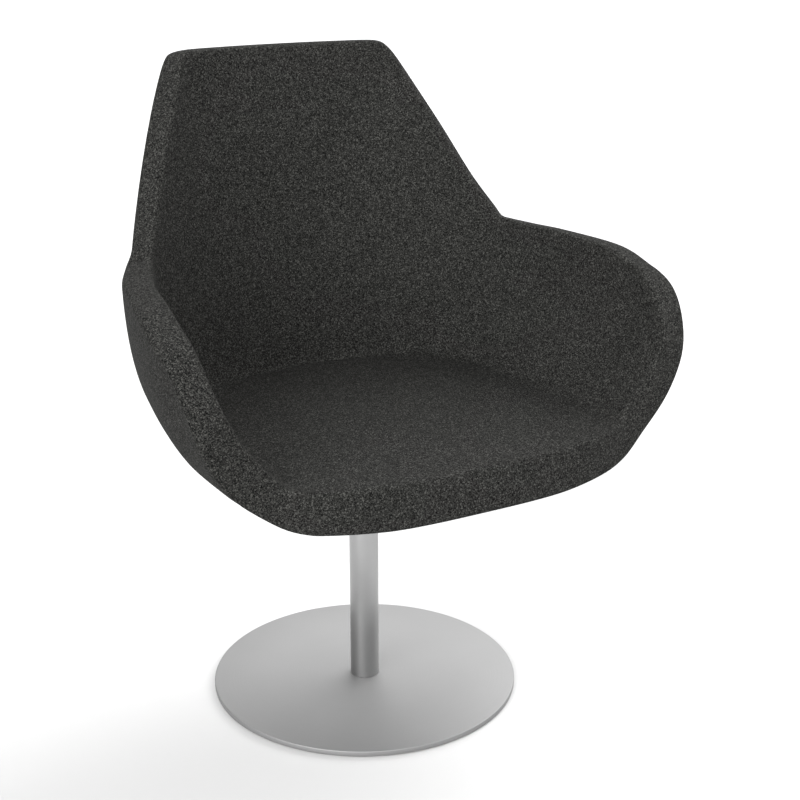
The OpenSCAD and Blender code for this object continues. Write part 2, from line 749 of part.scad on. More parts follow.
// Fabric band round the whole edge
module edge_cover() {
    inner_r = edge_r - cover_t;
    color([0.24, 0.24, 0.25]) edge_ring([
        [0, edge_end], [corner(edge_r), corner(edge_r)], [edge_r, 0],
        [-edge_r, 0], [-corner(edge_r), corner(edge_r)], [-tiny, edge_end]], [
        [-cover_t, edge_end], [-cover_t - corner(inner_r), cover_t + corner(inner_r)],
        [-edge_r, cover_t], [edge_r, cover_t],
        [cover_t + corner(inner_r), cover_t + corner(inner_r)], [cover_t, edge_end]]);
}

// Moulded disc that hides the cut edge of the fabric and the mounting plate
module trim_disc() {
    r = trim_d / 2;
    hole_r = tube_r + trim_hole_gap;
    color([0.13, 0.13, 0.14]) difference() {
        union() {
            turned([
                [hole_r, trim_under_z], [r - trim_edge_r, trim_under_z], [r, trim_under_z + trim_edge_r],
                [r, trim_under_z + trim_t], [hole_r, trim_under_z + trim_t]]);
            round_column(trim_screw_count, trim_circle_d) translate([0, 0, trim_under_z + trim_t / 2])
                cylinder(r = trim_boss_r, h = plate_under_z - trim_under_z - trim_t / 2);
        }
        round_column(trim_screw_count, trim_circle_d) translate([0, 0, trim_under_z - over])
            cylinder(r = trim_screw_r + run, h = plate_under_z - trim_under_z + 2 * over);
    }
}
module trim_screws() {
    head_z = trim_under_z - trim_head_h;
    color([0.2, 0.2, 0.21]) round_column(trim_screw_count, trim_circle_d) difference() {
        turned([
            [0, head_z], [trim_head_r * trim_slot_share, head_z],
            [trim_head_r, head_z + trim_head_h / 2],
            [trim_head_r, trim_under_z], [trim_screw_r, trim_under_z],
            [trim_screw_r, trim_under_z + trim_screw_l], [0, trim_under_z + trim_screw_l]]);
        for (turn = [0, 90]) rotate(turn)
            translate([-trim_head_r * trim_slot_share, -trim_slot_w / 2, head_z - over])
                cube([2 * trim_head_r * trim_slot_share, trim_slot_w, trim_slot_depth + over]);
    }
}

floor_pad();
base_plate();
base_screw();
locating_pin();
column_plug();
column_tube();
bearing_housing();
lower_bush();
upper_bush();
bearing_lower_race();
column_seal();
bearing_cage();
bearing_balls();
bearing_upper_race();
swivel_spindle();
retaining_washer();
retaining_ring();
mounting_plate();
seat_bolts();
seat_washers();
nut_plate();
weld_nuts();
shell_core();
seat_foam();
arm_foam();
back_foam();
under_foam();
side_foam();
rear_foam();
edge_foam();
inner_cover();
edge_cover();
outer_cover();
trim_disc();
trim_screws();
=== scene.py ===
"""Pedestal swivel armchair: a one-piece upholstered shell that turns on a round column."""

import math

import bpy
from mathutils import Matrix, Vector


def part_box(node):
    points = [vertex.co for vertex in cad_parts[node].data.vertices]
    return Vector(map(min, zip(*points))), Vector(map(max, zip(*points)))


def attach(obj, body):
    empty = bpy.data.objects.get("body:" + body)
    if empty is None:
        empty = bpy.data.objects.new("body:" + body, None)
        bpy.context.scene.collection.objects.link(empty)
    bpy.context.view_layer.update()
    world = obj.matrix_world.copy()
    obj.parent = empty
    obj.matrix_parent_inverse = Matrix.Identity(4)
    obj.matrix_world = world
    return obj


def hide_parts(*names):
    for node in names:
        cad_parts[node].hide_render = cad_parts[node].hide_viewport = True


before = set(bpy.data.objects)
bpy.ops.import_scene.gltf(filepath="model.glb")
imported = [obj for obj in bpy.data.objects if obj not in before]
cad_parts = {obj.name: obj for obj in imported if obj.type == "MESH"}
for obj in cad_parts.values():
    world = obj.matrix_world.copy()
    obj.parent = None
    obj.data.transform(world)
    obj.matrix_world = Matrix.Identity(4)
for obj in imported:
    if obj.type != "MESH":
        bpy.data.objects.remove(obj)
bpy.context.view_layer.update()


# ---------------------------------------------------------------- Floor, light and camera
# A plain floor, lit until it comes out white, in an even surround. Of seven wide soft lights the
# strongest stand at the chair's right and left. The camera looks down on the chair's right front.
floor_size = 90.0
lamp_distance = 4.0


def deselect():
    if bpy.context.mode != "OBJECT":
        bpy.ops.object.mode_set(mode="OBJECT")
    bpy.ops.object.select_all(action="DESELECT")


def settle(piece):
    """Puts the piece's place into its mesh, so that its object sits at the origin."""
    deselect()
    bpy.context.view_layer.objects.active = piece
    piece.select_set(True)
    bpy.ops.object.transform_apply(location=True, rotation=True, scale=True)


def shader(name):
    """A new material, its node tree and its Principled BSDF."""
    mat = bpy.data.materials.new(name)
    mat.use_nodes = True
    tree = mat.node_tree
    return mat, tree, tree.nodes["Principled BSDF"]


def add(tree, kind, **values):
    """A new node, with its properties or input sockets set by name."""
    node = tree.nodes.new(kind)
    for key, value in values.items():
        if hasattr(node, key):
            setattr(node, key, value)
        else:
            node.inputs[key.replace("_", " ")].default_value = value
    return node


deselect()
bpy.ops.mesh.primitive_plane_add(size=floor_size, location=(0.0, 0.0, 0.0))
floor = bpy.context.object
floor.name = "studio_floor"
floor_mat, tree, bsdf = shader("pale floor")
floor_coords = add(tree, "ShaderNodeTexCoord")
floor_cloud = add(tree, "ShaderNodeTexNoise", Scale=0.8, Detail=2.0)
floor_tone = add(tree, "ShaderNodeMapRange", To_Min=0.50, To_Max=0.51)
floor_mix = add(tree, "ShaderNodeCombineColor")
tree.links.new(floor_coords.outputs["Object"], floor_cloud.inputs["Vector"])
tree.links.new(floor_cloud.outputs["Fac"], floor_tone.inputs["Value"])
for channel in ("Red", "Green", "Blue"):
    tree.links.new(floor_tone.outputs["Result"], floor_mix.inputs[channel])
tree.links.new(floor_mix.outputs["Color"], bsdf.inputs["Base Color"])
bsdf.inputs["Roughness"].default_value = 0.9
floor.data.materials.append(floor_mat)

surround = bpy.data.worlds.new("studio surround")
surround.use_nodes = True
surround.node_tree.nodes["Background"].inputs["Color"].default_value = (1.0, 1.0, 1.0, 1.0)
surround.node_tree.nodes["Background"].inputs["Strength"].default_value = 0.28
bpy.context.scene.world = surround
bpy.context.scene.view_settings.view_transform = "Standard"


def soft_sun(name, toward, spread, strength):
    """Light from a wide part of the surround, its middle lying in the direction toward."""
    deselect()
    bpy.ops.object.light_add(type="SUN", location=lamp_distance * Vector(toward))
    lamp = bpy.context.object
    lamp.name = name
    lamp.data.energy = strength
    lamp.data.angle = math.radians(spread)
    lamp.rotation_euler = (-Vector(toward)).to_track_quat("-Z", "Y").to_euler()


soft_sun("left_light", (-1.0, -0.5, 0.5), 40.0, 4.08)
soft_sun("front_left_light", (-0.5, -1.0, 0.5), 40.0, 1.48)
soft_sun("front_right_light", (0.4, -1.0, 0.5), 40.0, 1.20)
soft_sun("right_light", (1.0, 0.0, 1.0), 50.0, 3.02)
soft_sun("back_right_light", (1.0, 1.0, 1.4), 50.0, 1.25)
soft_sun("back_light", (0.3, 1.0, 1.6), 60.0, 1.15)
soft_sun("back_left_light", (-1.0, 0.4, 0.5), 50.0, 0.49)

camera_place = Vector((-0.9615, -1.7716, 1.1280))
camera_aim = Vector((0.4733, 0.8198, -0.3223))
deselect()
bpy.ops.object.camera_add(location=camera_place)
camera = bpy.context.object
camera.name = "photo_camera"
camera.rotation_euler = camera_aim.to_track_quat("-Z", "Y").to_euler()
camera.data.lens = 67.5
camera.data.sensor_width = 36.0
camera.data.clip_end = 250.0
bpy.context.scene.camera = camera


# ---------------------------------------------------------------- Floor pad
# A thin black rubber-cork pad, glued under the base disc and kept a little inside its edge, so
# that steel never touches the floor.


def group_tree(name, floats, outputs, colours=()):
    """A node group with named float and colour inputs, and its input and output nodes."""
    tree = bpy.data.node_groups.new(name, "ShaderNodeTree")
    for label, value in floats.items():
        socket = tree.interface.new_socket(
            name=label, in_out="INPUT", socket_type="NodeSocketFloat")
        socket.default_value = value
    for label in colours:
        tree.interface.new_socket(name=label, in_out="INPUT", socket_type="NodeSocketColor")
    for label, kind in outputs.items():
        tree.interface.new_socket(name=label, in_out="OUTPUT", socket_type="NodeSocket" + kind)
    return tree, tree.nodes.new("NodeGroupInput"), tree.nodes.new("NodeGroupOutput")


def math_node(tree, operation, a, b=None, c=None):
    """The output of a new math node, its inputs given as numbers or as sockets to link."""
    node = tree.nodes.new("ShaderNodeMath")
    node.operation = operation
    for socket, value in zip(node.inputs, (a, b, c)):
        if value is None:
            continue
        if isinstance(value, (int, float)):
            socket.default_value = value
        else:
            tree.links.new(value, socket)
    return node.outputs[0]


# Fine grain of a surface: two colours mottled into each other, a varying roughness and a height
grain, grain_in, grain_out = group_tree(
    "surface_grain",
    {"Scale": 300.0, "Mottle Scale": 30.0, "Mottle": 0.5, "Rough Low": 0.4, "Rough High": 0.6},
    {"Color": "Color", "Roughness": "Float", "Height": "Float"},
    ("Dark", "Light"),
)
coords = add(grain, "ShaderNodeTexCoord")
fine = add(grain, "ShaderNodeTexNoise", Detail=3.0, Roughness=0.6)
cloud = add(grain, "ShaderNodeTexNoise", Detail=4.0, Roughness=0.55)
grain.links.new(coords.outputs["Object"], fine.inputs["Vector"])
grain.links.new(coords.outputs["Object"], cloud.inputs["Vector"])
grain.links.new(grain_in.outputs["Scale"], fine.inputs["Scale"])
grain.links.new(grain_in.outputs["Mottle Scale"], cloud.inputs["Scale"])
blend = add(grain, "ShaderNodeMix", data_type="FLOAT")
grain.links.new(grain_in.outputs["Mottle"], blend.inputs[0])
grain.links.new(fine.outputs["Fac"], blend.inputs[2])
grain.links.new(cloud.outputs["Fac"], blend.inputs[3])
spread = add(grain, "ShaderNodeMapRange", From_Min=0.3, From_Max=0.7)
grain.links.new(blend.outputs[0], spread.inputs["Value"])
tint = add(grain, "ShaderNodeMix", data_type="RGBA")
grain.links.new(spread.outputs["Result"], tint.inputs[0])
grain.links.new(grain_in.outputs["Dark"], tint.inputs[6])
grain.links.new(grain_in.outputs["Light"], tint.inputs[7])
rough = add(grain, "ShaderNodeMapRange")
grain.links.new(spread.outputs["Result"], rough.inputs["Value"])
grain.links.new(grain_in.outputs["Rough Low"], rough.inputs["To Min"])
grain.links.new(grain_in.outputs["Rough High"], rough.inputs["To Max"])
grain.links.new(tint.outputs[2], grain_out.inputs["Color"])
grain.links.new(rough.outputs["Result"], grain_out.inputs["Roughness"])
grain.links.new(fine.outputs["Fac"], grain_out.inputs["Height"])


def grained(name, dark, light, rough_low, rough_high, scale, mottle_scale, bump, **finish):
    """A material whose colour, roughness and fine relief come from the surface grain."""
    mat, tree, bsdf = shader(name)
    node = tree.nodes.new("ShaderNodeGroup")
    node.node_tree = grain
    node.inputs["Scale"].default_value = scale
    node.inputs["Mottle Scale"].default_value = mottle_scale
    node.inputs["Rough Low"].default_value = rough_low
    node.inputs["Rough High"].default_value = rough_high
    node.inputs["Dark"].default_value = (*dark, 1.0)
    node.inputs["Light"].default_value = (*light, 1.0)
    relief = add(tree, "ShaderNodeBump", Strength=0.6, Distance=bump)
    tree.links.new(node.outputs["Height"], relief.inputs["Height"])
    tree.links.new(node.outputs["Color"], bsdf.inputs["Base Color"])
    tree.links.new(node.outputs["Roughness"], bsdf.inputs["Roughness"])
    tree.links.new(relief.outputs["Normal"], bsdf.inputs["Normal"])
    for label, value in finish.items():
        bsdf.inputs[label.replace("_", " ")].default_value = value
    return mat


def finish_nodes(mat, *nodes):
    """Gives carried-over CAD nodes their material."""
    for name in nodes:
        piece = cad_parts[name]
        piece.data.materials.clear()
        piece.data.materials.append(mat)


pad_rubber = grained(
    "black pad", (0.010, 0.010, 0.011), (0.024, 0.023, 0.022), 0.75, 0.95, 900.0, 120.0, 0.0004)
finish_nodes(pad_rubber, "floor_pad")


# ---------------------------------------------------------------- Base disc
# One flat round plate of 8 mm steel, turned, its edge broken, and finished in a satin light
# grey. It is held to the column by a screw from below, and a dowel keeps the two in line.
disc_low, disc_high = (Vector(corner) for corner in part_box("base_plate"))
disc_r = (disc_high.x - disc_low.x) / 2
disc_edge_r = 0.0012
screw_hole_r = 0.0063
screw_head_r = 0.0125
disc_ring_share = 0.35
level_gap = 1e-5
ring_gap = 1e-4


def edit(piece, kind="FACE"):
    """Opens a piece for editing with nothing selected."""
    deselect()
    bpy.context.view_layer.objects.active = piece
    piece.select_set(True)
    bpy.ops.object.mode_set(mode="EDIT")
    bpy.ops.mesh.select_mode(type=kind)
    bpy.ops.mesh.select_all(action="DESELECT")


def pick_faces(piece, wanted):
    """Selects the faces that wanted says, by centre and normal, in edit mode."""
    bpy.ops.object.mode_set(mode="OBJECT")
    for face in piece.data.polygons:
        face.select = wanted(face.center, face.normal)
    bpy.ops.object.mode_set(mode="EDIT")


def pick_edges(piece, wanted):
    """Selects the edges that wanted says, by their two ends, in edit mode."""
    bpy.ops.mesh.select_mode(type="EDGE")
    bpy.ops.object.mode_set(mode="OBJECT")
    points = piece.data.vertices
    for edge in piece.data.edges:
        edge.select = wanted(points[edge.vertices[0]].co, points[edge.vertices[1]].co)
    bpy.ops.object.mode_set(mode="EDIT")


def smooth(piece, angle=35.0):
    """Shades a piece smooth, but for edges sharper than the angle in degrees."""
    deselect()
    bpy.context.view_layer.objects.active = piece
    piece.select_set(True)
    bpy.ops.object.shade_smooth_by_angle(angle=math.radians(angle))


def radius(point):
    return math.hypot(point.x, point.y)


def ring_inside(a, b, limit):
    """Whether an edge is part of a level ring round the axis, no wider than the limit."""
    return abs(a.z - b.z) < level_gap and max(radius(a), radius(b)) < limit + ring_gap


def ring_outside(a, b, limit):
    """Whether an edge is part of a level ring round the axis, no narrower than the limit."""
    return abs(a.z - b.z) < level_gap and min(radius(a), radius(b)) > limit - ring_gap


deselect()
bpy.ops.mesh.primitive_cylinder_add(
    vertices=192, radius=disc_r, depth=disc_high.z - disc_low.z,
    location=(0.0, 0.0, (disc_low.z + disc_high.z) / 2))
disc = bpy.context.object
disc.name = "base_disc"
settle(disc)
edit(disc)
pick_faces(disc, lambda centre, normal: normal.z < -0.9)
bpy.ops.mesh.inset(thickness=disc_r - screw_head_r, use_boundary=True)
bpy.ops.mesh.extrude_region_move(
    TRANSFORM_OT_translate={"value": (0.0, 0.0, screw_head_r - screw_hole_r)})
bpy.ops.transform.resize(value=(screw_hole_r / screw_head_r, screw_hole_r / screw_head_r, 1.0))
bpy.ops.mesh.delete(type="FACE")
edit(disc)
pick_faces(disc, lambda centre, normal: normal.z > 0.9)
bpy.ops.mesh.inset(thickness=disc_r * disc_ring_share, use_boundary=True)
bpy.ops.mesh.inset(
    thickness=disc_r * (1 - disc_ring_share) - screw_hole_r, use_boundary=True)
bpy.ops.mesh.delete(type="FACE")
edit(disc, "EDGE")
hole_low = disc_low.z + screw_head_r - screw_hole_r
pick_edges(disc, lambda a, b: ring_inside(a, b, screw_hole_r)
           and (a.z > disc_high.z - ring_gap or a.z < hole_low + ring_gap))
bpy.ops.mesh.bridge_edge_loops()
pick_edges(disc, lambda a, b: ring_outside(a, b, disc_r))
bpy.ops.mesh.bevel(offset=disc_edge_r, segments=4, profile=0.5, affect="EDGES")
bpy.ops.object.mode_set(mode="OBJECT")
smooth(disc)


# Satin metal: the surface grain, crossed by the faint rings that the polishing left
satin, satin_in, satin_out = group_tree(
    "satin_lines", {"Lines": 900.0, "Upright": 0.0}, {"Height": "Float", "Streak": "Float"})
coords = add(satin, "ShaderNodeTexCoord")
split = add(satin, "ShaderNodeSeparateXYZ")
satin.links.new(coords.outputs["Object"], split.inputs["Vector"])
x_square, y_square = (math_node(satin, "MULTIPLY", split.outputs[axis], split.outputs[axis])
                      for axis in ("X", "Y"))
ring_line = math_node(satin, "SQRT", math_node(satin, "ADD", x_square, y_square))
line_mix = add(satin, "ShaderNodeMix", data_type="FLOAT")
satin.links.new(satin_in.outputs["Upright"], line_mix.inputs[0])
satin.links.new(ring_line, line_mix.inputs[2])
satin.links.new(split.outputs["Z"], line_mix.inputs[3])
streaks = add(satin, "ShaderNodeTexNoise", noise_dimensions="1D", Detail=4.0, Roughness=0.7)
satin.links.new(line_mix.outputs[0], streaks.inputs["W"])
satin.links.new(satin_in.outputs["Lines"], streaks.inputs["Scale"])
satin.links.new(streaks.outputs["Fac"], satin_out.inputs["Height"])
stretch = add(satin, "ShaderNodeMapRange", From_Min=0.35, From_Max=0.65)
satin.links.new(streaks.outputs["Fac"], stretch.inputs["Value"])
satin.links.new(stretch.outputs["Result"], satin_out.inputs["Streak"])


def satin_metal(name, dark, light, rough_low, rough_high, upright, lines, bump):
    """Grey satin metal with fine polishing rings, one in another or, upright, one over another."""
    mat, tree, bsdf = shader(name)
    base = tree.nodes.new("ShaderNodeGroup")
    base.node_tree = grain
    base.inputs["Scale"].default_value = 700.0
    base.inputs["Mottle Scale"].default_value = 9.0
    base.inputs["Mottle"].default_value = 0.7
    base.inputs["Rough Low"].default_value = rough_low
    base.inputs["Rough High"].default_value = rough_high
    base.inputs["Dark"].default_value = (*dark, 1.0)
    base.inputs["Light"].default_value = (*light, 1.0)
    polish = tree.nodes.new("ShaderNodeGroup")
    polish.node_tree = satin
    polish.inputs["Lines"].default_value = lines
    polish.inputs["Upright"].default_value = upright
    rough = math_node(
        tree, "MULTIPLY_ADD", polish.outputs["Streak"], 0.05, base.outputs["Roughness"])
    relief = add(tree, "ShaderNodeBump", Strength=0.5, Distance=bump)
    tree.links.new(polish.outputs["Height"], relief.inputs["Height"])
    tree.links.new(base.outputs["Color"], bsdf.inputs["Base Color"])
    tree.links.new(rough, bsdf.inputs["Roughness"])
    tree.links.new(relief.outputs["Normal"], bsdf.inputs["Normal"])
    bsdf.inputs["Metallic"].default_value = 1.0
    return mat


disc_metal = satin_metal(
    "satin disc", (0.258, 0.258, 0.258), (0.284, 0.284, 0.284), 0.60, 0.66, 0.0, 700.0, 0.00004)
disc.data.materials.append(disc_metal)
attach(disc, "pedestal")
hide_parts("base_plate")


# ---------------------------------------------------------------- Base screw and dowel
# The M12 countersunk socket screw comes up through the disc into the column's plug, and a 6 mm
# dowel beside it stops the column turning. Both are zinc-plated and out of sight.
zinc = grained(
    "zinc plating", (0.42, 0.43, 0.45), (0.58, 0.58, 0.57), 0.30, 0.48, 800.0, 60.0, 0.00008,
    Metallic=1.0)
finish_nodes(zinc, "base_screw", "locating_pin")


# ---------------------------------------------------------------- Column
# A plain 42.4 mm steel tube, cut square, its rims broken, finished in the same satin grey as
# the disc. A threaded plug is welded flush into its foot.
tube_low, tube_high = (Vector(corner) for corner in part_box("column_tube"))
tube_r = (tube_high.x - tube_low.x) / 2
tube_wall = 0.0026
tube_bore_r = tube_r - tube_wall
tube_rim_r = 0.0005

deselect()
bpy.ops.mesh.primitive_cylinder_add(
    vertices=96, radius=tube_r, depth=tube_high.z - tube_low.z,
    location=(0.0, 0.0, (tube_low.z + tube_high.z) / 2))
column = bpy.context.object
column.name = "column"
settle(column)
edit(column)
pick_faces(column, lambda centre, normal: abs(normal.z) > 0.9)
bpy.ops.mesh.inset(thickness=tube_wall, use_boundary=True)
bpy.ops.mesh.delete(type="FACE")
pick_edges(column, lambda a, b: ring_inside(a, b, tube_bore_r))
bpy.ops.mesh.bridge_edge_loops()
pick_edges(column, lambda a, b: ring_outside(a, b, tube_r))
bpy.ops.mesh.bevel(offset=tube_rim_r, segments=3, profile=0.5, affect="EDGES")
bpy.ops.object.mode_set(mode="OBJECT")
smooth(column)
column_metal = satin_metal(
    "satin column", (0.35, 0.35, 0.35), (0.39, 0.39, 0.39), 0.30, 0.36, 1.0, 500.0, 0.00001)
column.data.materials.append(column_metal)
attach(column, "pedestal")
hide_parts("column_tube")

plain_steel = grained(
    "plain steel", (0.22, 0.22, 0.23), (0.36, 0.36, 0.37), 0.40, 0.62, 500.0, 40.0, 0.0001,
    Metallic=1.0)
finish_nodes(plain_steel, "column_plug")


# ---------------------------------------------------------------- Swivel bearing
# Pressed into the top of the column: a steel sleeve with two nylon bushes, a ball thrust
# bearing with a brass cage on top, and a black seal ring in the mouth of the tube.
finish_nodes(plain_steel, "bearing_housing")
nylon = grained(
    "natural nylon", (0.66, 0.63, 0.54), (0.78, 0.76, 0.69), 0.38, 0.55, 600.0, 50.0, 0.00006)
finish_nodes(nylon, "lower_bush", "upper_bush")
ground_steel = grained(
    "ground steel", (0.52, 0.53, 0.55), (0.66, 0.66, 0.68), 0.12, 0.24, 1200.0, 80.0, 0.00002,
    Metallic=1.0)
finish_nodes(ground_steel, "bearing_lower_race", "bearing_balls", "bearing_upper_race")
brass = grained(
    "cage brass", (0.52, 0.36, 0.13), (0.68, 0.50, 0.21), 0.26, 0.42, 700.0, 60.0, 0.00006,
    Metallic=1.0)
finish_nodes(brass, "bearing_cage")
black_moulding = grained(
    "black moulding", (0.011, 0.011, 0.012), (0.022, 0.022, 0.023), 0.50, 0.66, 1100.0, 90.0,
    0.00010)
finish_nodes(black_moulding, "column_seal")


# ---------------------------------------------------------------- Spindle
# Hub, spigot and shaft are one turned piece. The hub is as wide as the column, finished like it,
# and carries on its line up into the trim disc. A washer and a ring hold the shaft from below.
finish_nodes(column_metal, "swivel_spindle")
finish_nodes(zinc, "retaining_washer")
blackened = grained(
    "blackened steel", (0.030, 0.030, 0.033), (0.070, 0.070, 0.075), 0.32, 0.50, 900.0, 70.0,
    0.00008, Metallic=1.0)
finish_nodes(blackened, "retaining_ring")


# ---------------------------------------------------------------- Seat mounting
# A round steel plate welded on the hub. Four M8 bolts with washers go up through it and the
# shell into weld nuts on a second plate inside the padding.
finish_nodes(plain_steel, "mounting_plate", "nut_plate")
finish_nodes(zinc, "seat_bolts", "seat_washers", "weld_nuts")


# ---------------------------------------------------------------- Shell core
# The rigid moulded shell that carries the whole form, 8 mm thick and quite hidden by the
# padding glued on both its sides.
core_finish = grained(
    "moulded shell", (0.56, 0.51, 0.41), (0.70, 0.65, 0.54), 0.55, 0.75, 400.0, 25.0, 0.0002)
finish_nodes(core_finish, "shell_core")


# ---------------------------------------------------------------- Upholstery
# Moulded foam on both sides of the shell and round its edge, covered tightly with charcoal
# mottled tweed. The cover is glued down, so it follows the form with soft edges and no folds.
# Sizes are in metres; a table of shares gives places as parts of these sizes, station by station.
seat_h, arm_h, back_h = 0.447, 0.657, 0.916
arm_half_w, top_half_w = 0.3335, 0.1585
seat_reach, back_reach = 0.320, 0.238
seat_t, front_t, arm_t, back_t, arm_swell = 0.077, 0.060, 0.040, 0.032, 0.003
pad_edge_r = 0.0065
top_corner_reach, top_corner_drop = 0.92, 0.01
arm_rise, back_rise = arm_h - seat_h, back_h - seat_h
notch = 10
# Inner rim of the arm, front to notch: out, back, up, and how much of the section is used there
arm_rim_shares = [
    (1, -0.894, 0.89, 0.515), (1, -0.858, 0.89, 0.575), (1, -0.839, 0.89, 0.653),
    (1, -0.836, 0.89, 0.76), (1, -0.831, 0.89, 0.853), (0.997, -0.707, 0.888, 0.953),
    (0.999, -0.581, 0.896, 1), (0.979, -0.372, 0.975, 1), (0.925, -0.063, 1.005, 1),
    (0.879, 0.092, 1.013, 1), (0.828, 0.317, 1.036, 1)]
# Inner rim of the back, from the notch to the top corner: in, back, up
back_rim_shares = [
    (0, 0, 0), (0.247, 0.295, 0.239), (0.493, 0.541, 0.504), (0.742, 0.773, 0.758),
    (0.913, 0.935, 0.942), (1, 1, 1)]
# Middle line inside, from the seat's front edge to the top of the back: back, up
middle_shares = [
    (-1, 0), (-0.845, 0), (-0.78, 0), (-0.71, 0), (-0.61, 0), (-0.469, 0), (-0.25, 0), (0, 0),
    (0.36, 0), (0.69, 0), (0.77, 0.003), (0.795, 0.082), (0.86, 0.347), (0.907, 0.56),
    (0.953, 0.772), (1, 1)]
# The rows from which the outer face bends, which is an easier bend than inside
outer_bend = [(0.58, 0), (0.745, 0.014), (0.811, 0.15)]
# Sections between the arms, from the middle to the rim: out, up
inner_section = [
    (0, 0), (0.09, 0), (0.18, 0), (0.27, 0), (0.36, 0), (0.45, 0), (0.54, 0), (0.62, 0),
    (0.72, 0), (0.765, 0.035), (0.82, 0.145), (0.885, 0.297), (0.935, 0.45),
    (0.972, 0.605), (0.993, 0.79), (1, 1)]
outer_section = [
    (0, 0), (0.083, 0), (0.166, 0), (0.25, 0), (0.33, 0), (0.405, 0.016), (0.518, 0.049),
    (0.595, 0.088), (0.687, 0.132), (0.766, 0.205), (0.847, 0.31), (0.915, 0.463),
    (0.96, 0.66), (0.984, 0.845), (1, 1)]
# Outer rims, from the inner ones: out, back, up (the arm's up is from the seat), section used
outer_arm_shares = [
    (1.1, -0.125, -0.133, 0.5), (1.1, -0.04, 0.56, 0.598), (1.143, 0.063, 0.785, 0.683),
    (1.134, 0.06, 0.855, 0.776), (1.163, 0.152, 0.885, 0.855), (1.102, 0.042, 0.85, 0.961),
    (1.049, 0.144, 0.852, 1), (1.036, 0.183, 0.945, 1), (0.945, 0.271, 0.97, 1),
    (0.956, 0.454, 0.974, 1), (0.653, 0.718, 0.988, 1)]
outer_back_shares = [
    (0.709, 0.684, 0.18), (0.76, 0.796, 0.2), (0.795, 0.817, 0.19), (0.781, 0.85, 0.19),
    (0.627, 0.88, 0.16), (0.5, 0.991, 0.08)]
# Wall thickness along the middle line, from front to seat and from seat to back, and the
# direction in which it is laid off, in degrees from straight down
wall_shares = [
    (0, 0), (0.48, 0), (0.73, 0), (0.89, 0), (1, 0), (1, 0), (1, 0), (1, 0), (1, 0),
    (1, 0.045), (1, 0.38), (1, 0.67), (1, 0.75), (1, 0.82), (1, 0.91), (1, 1)]
wall_lean = [-5, 8, 5, 0, 0, 0, 0, 0, 0, 9, 40, 74, 82, 84, 85, 85]
row_stations = [0, 1, 2, 3, 4, 5, 6, 6.5, 7, 7.5, 8, 9, 9.5, 10, 10.5, 11, 12, 13, 14, 15]
half_cols = 13
cols, rows = 2 * half_cols, len(row_stations) - 1
inside_turn, outside_turn = (8.5, 11.5), (9.5, 12)
swell_peak = 4 / 27
draw_in_lines = 5


def mix(a, b, f):
    return a + (b - a) * f


def ramp(low, high, t):
    """Rises smoothly from 0 to 1 between low and high."""
    f = min(max((t - low) / (high - low), 0.0), 1.0)
    return f * f * (3 - 2 * f)


def along(table, t):
    """Smooth curve through the rows of a table, read at row t."""
    n = len(table) - 1
    s = min(max(t, 0.0), n)
    i = min(int(s), n - 1)
    f = s - i
    out = []
    for k in range(len(table[0])):
        b, c = table[i][k], table[i + 1][k]
        a = table[i - 1][k] if i > 0 else 2 * b - c
        d = table[i + 2][k] if i + 2 <= n else 2 * c - b
        out.append((2 * b + (c - a) * f + (2 * a - 5 * b + 4 * c - d) * f * f
                    + (3 * b - a - 3 * c + d) * f ** 3) / 2)
    return out


def depth(share):
    return share * (seat_reach if share < 0 else back_reach)


inner_arm = [(w * arm_half_w, depth(d), seat_h + h * arm_rise, left)
             for w, d, h, left in arm_rim_shares]
low_corner = inner_arm[notch]
top_corner = (top_half_w, depth(top_corner_reach), back_h - top_corner_drop * back_rise, 1)
inner_back = [(mix(low_corner[0], top_corner[0], w), mix(low_corner[1], top_corner[1], d),
               mix(low_corner[2], top_corner[2], h), 1) for w, d, h in back_rim_shares]
outer_arm = [(rim[0] + w * arm_t, rim[1] + d * arm_t, seat_h + h * arm_rise, left)
             for (w, d, h, left), rim in zip(outer_arm_shares, inner_arm)]
outer_back = [(rim[0] + w * back_t, rim[1] + d * back_t, rim[2] - h * back_t, 1)
              for (w, d, h), rim in zip(outer_back_shares, inner_back)]
inner_middle = [(depth(d), seat_h + h * back_rise) for d, h in middle_shares]
bend_row = 9
wall_start = [(depth(d), seat_h + h * back_rise) for d, h in
              middle_shares[:bend_row] + outer_bend + middle_shares[bend_row + len(outer_bend):]]
outer_middle = []
for (d, h), (seat_share, back_share), lean in zip(wall_start, wall_shares, wall_lean):
    wall = mix(mix(front_t, seat_t, seat_share), back_t, back_share)
    outer_middle.append((d + wall * math.sin(math.radians(lean)),
                         h - wall * math.cos(math.radians(lean))))


def face_point(t, u, outer):
    """A point of the inner or outer face at station t, the share u from the middle to the rim.

    About the notch the bucket's section turns into the back's flatter one.
    """
    arm, side = (outer_arm, outer_back) if outer else (inner_arm, inner_back)
    rim = along(arm, t) if t <= notch else along(side, t - notch)
    mid = along(outer_middle if outer else inner_middle, t)
    section = outer_section if outer else inner_section
    reach = min(rim[3], 1.0) * (len(section) - 1)
    a = abs(u)
    cut = along(section, a * reach)
    back = ramp(*(outside_turn if outer else inside_turn), t)
    across = mix(cut[0], a, back)
    up = mix(mix(cut[1], a ** 2.6, back), a ** 20, ramp(13, 15, t))
    power = mix(3, 2, ramp(0, 4, t))
    ahead = (across / mix(along(section, reach)[0], 1, back)) ** power
    swell = 0.0
    if outer:
        swell = (arm_swell * up * up * (1 - up) / swell_peak * ramp(4, 8, t)
                 * (1 - ramp(10, 12, t)))
    side_sign = (u > 0) - (u < 0)
    return Vector((side_sign * (rim[0] * across + swell), mix(mid[0], rim[1], ahead),
                   mix(mid[1], rim[2], up)))


